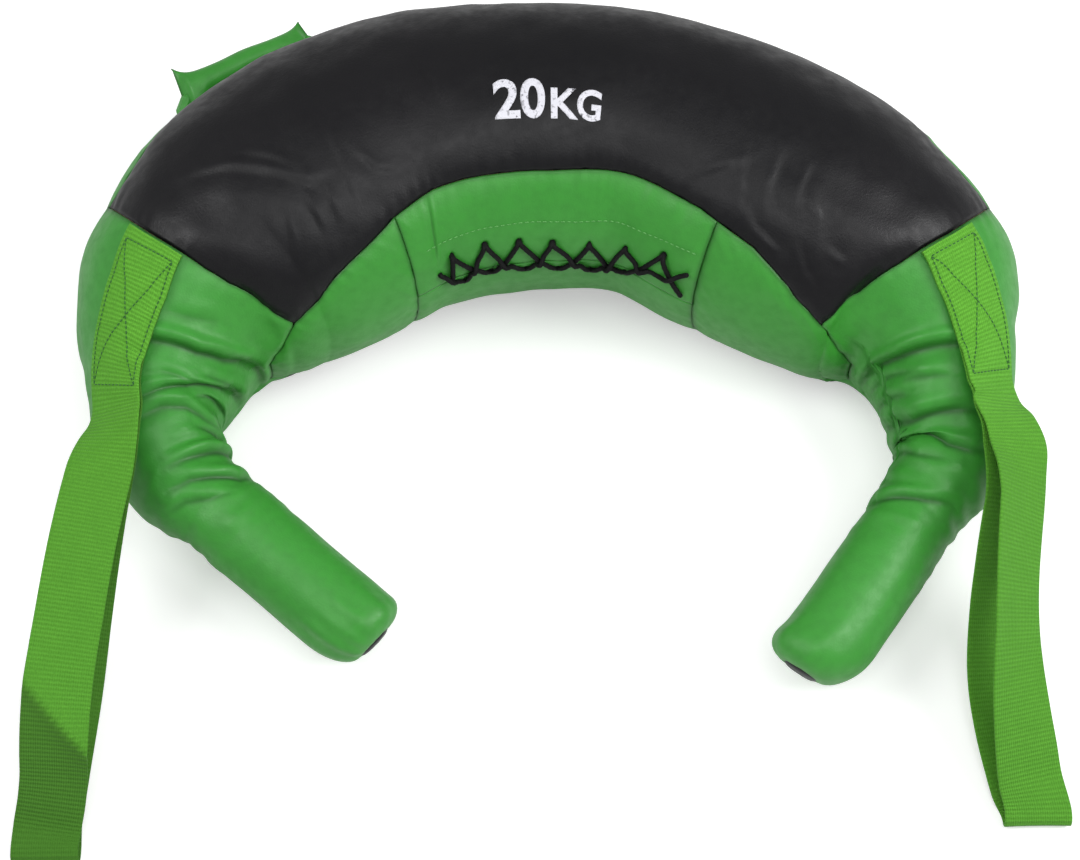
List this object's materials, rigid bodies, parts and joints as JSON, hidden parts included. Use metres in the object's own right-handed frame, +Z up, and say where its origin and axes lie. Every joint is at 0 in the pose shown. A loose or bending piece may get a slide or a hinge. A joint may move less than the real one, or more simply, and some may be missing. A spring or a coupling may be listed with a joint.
{
  "type": "sandbag trainer",
  "caption": "Crescent-shaped leather sandbag for strength training, with a padded grip at each tapered end, webbing hand loops, rear carrying handles and a laced filling slit.",
  "frame": {"origin": "middle of the flat belly that the bag lies on, in its plane of symmetry", "axes": "+X across the bag from its left grip to its right grip, +Y from the grips to the back of the crescent, +Z up"},
  "size_m": [0.6034, 0.5379, 0.1713],
  "materials": {
    "leather_black": "black synthetic leather, satin",
    "leather_green": "green synthetic leather, satin with a light grain",
    "webbing": "green woven webbing, matt, fine cross ribs",
    "cord": "black woven lacing cord",
    "sack": "undyed cotton sack, filled with sand",
    "fibre": "firm rolled textile fibre"
  },
  "bodies": {
    "bag": {"bottom_panel": "leather_black", "inner_gusset_left": "leather_green", "inner_gusset_right": "leather_green", "inner_panel_lower": "leather_green", "inner_panel_upper": "leather_green", "lacing_cord": "cord", "lacing_tongue": "leather_black", "neck_filling_left": "fibre", "neck_filling_right": "fibre", "outer_panel": "leather_green", "rear_handle_patch_left_back": "leather_green", "rear_handle_patch_left_front": "leather_green", "rear_handle_patch_right_back": "leather_green", "rear_handle_patch_right_front": "leather_green", "sand_bag_left": "sack", "sand_bag_middle": "sack", "sand_bag_right": "sack", "shoulder_sleeve_left": "leather_green", "shoulder_sleeve_right": "leather_green", "strap_sewn_end_left": "webbing", "strap_sewn_end_right": "webbing", "top_panel": "leather_black"},
    "grip_left": {"grip_sleeve_left": "leather_green", "grip_end_disc_left": "leather_black", "grip_core_left": "fibre"},
    "grip_right": {"grip_sleeve_right": "leather_green", "grip_end_disc_right": "leather_black", "grip_core_right": "fibre"},
    "loop_left": {"strap_loop_left": "webbing"},
    "loop_right": {"strap_loop_right": "webbing"},
    "handle_left": {"rear_handle_core_left": "fibre", "rear_handle_cover_left": "leather_green"},
    "handle_right": {"rear_handle_core_right": "fibre", "rear_handle_cover_right": "leather_green"}
  },
  "joints": [
    {"name": "grip_flex_left", "type": "hinge", "parent": "bag", "child": "grip_left", "pos_m": [-0.21552, -0.213, 0.047], "axis": [0, 0, 1], "range_deg": [-8, 12], "stiffness_Nm_per_rad": 4},
    {"name": "grip_flex_right", "type": "hinge", "parent": "bag", "child": "grip_right", "pos_m": [0.2337, -0.213, 0.047], "axis": [0, 0, 1], "range_deg": [-12, 8], "stiffness_Nm_per_rad": 4},
    {"name": "loop_swing_left", "type": "hinge", "parent": "bag", "child": "loop_left", "pos_m": [-0.25329, -0.19021, 0.09257], "axis": [-0.7438, -0.225, -0.6294], "range_deg": [0, 85]},
    {"name": "loop_swing_right", "type": "hinge", "parent": "bag", "child": "loop_right", "pos_m": [0.26007, -0.18284, 0.09249], "axis": [-0.775, -0.03, 0.6313], "range_deg": [0, 85]},
    {"name": "handle_turn_left", "type": "hinge", "parent": "bag", "child": "handle_left", "pos_m": [-0.17854, 0.05493, 0.06409], "axis": [0.8697, 0.4923, 0.0347], "range_deg": [-80, 22]},
    {"name": "handle_turn_right", "type": "hinge", "parent": "bag", "child": "handle_right", "pos_m": [0.1646, 0.04991, 0.06418], "axis": [0.8913, -0.4521, -0.035], "range_deg": [-5, 97]}
  ]
}
